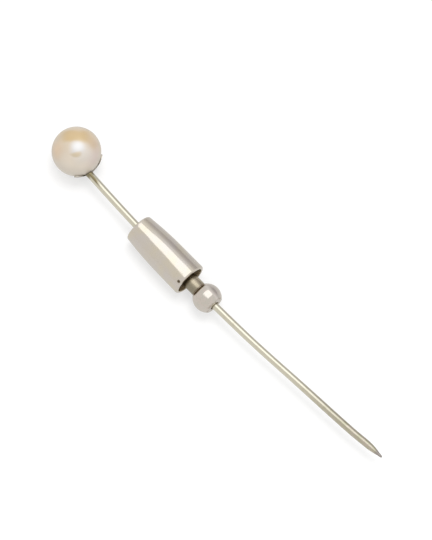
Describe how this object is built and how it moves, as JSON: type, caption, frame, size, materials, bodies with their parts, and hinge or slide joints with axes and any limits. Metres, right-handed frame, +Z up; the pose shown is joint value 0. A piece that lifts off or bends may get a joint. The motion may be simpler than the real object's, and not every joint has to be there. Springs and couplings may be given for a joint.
{
  "type": "tie pin",
  "caption": "Tie pin with a pearl in a scalloped cup on a slightly bowed wire, held by a sliding clutch with a sleeve and a sprung, ball-ended knob that is pulled to let go.",
  "frame": {"origin": "middle of the whole pin's footprint, on the surface that it lies on", "axes": "+X along the pin from the pearl to the point, +Z up from the surface, +Y to the side that the wire's bow is hollow on"},
  "size_m": [0.0655, 0.0078, 0.0071],
  "materials": {
    "pale_gold": "polished",
    "pearl": "gloss",
    "white_gold": "polished",
    "worn_gold": "polished"
  },
  "bodies": {
    "pin": {"pin_stem": "pale_gold", "pearl": "pearl"},
    "sleeve": {"sleeve": "white_gold"},
    "knob": {"knob": "worn_gold"}
  },
  "joints": [
    {"name": "clutch_slide", "type": "hinge", "parent": "pin", "child": "sleeve", "pos_m": [0.00175, 0.38866, 0.00261], "axis": [0, 0, 1], "range_deg": [-1.46, 7.35]},
    {"name": "knob_pull", "type": "slide", "parent": "sleeve", "child": "knob", "axis": [0.9997, -0.0226, 0], "range_m": [0, 0.0012], "stiffness_N_per_m": 1500}
  ]
}
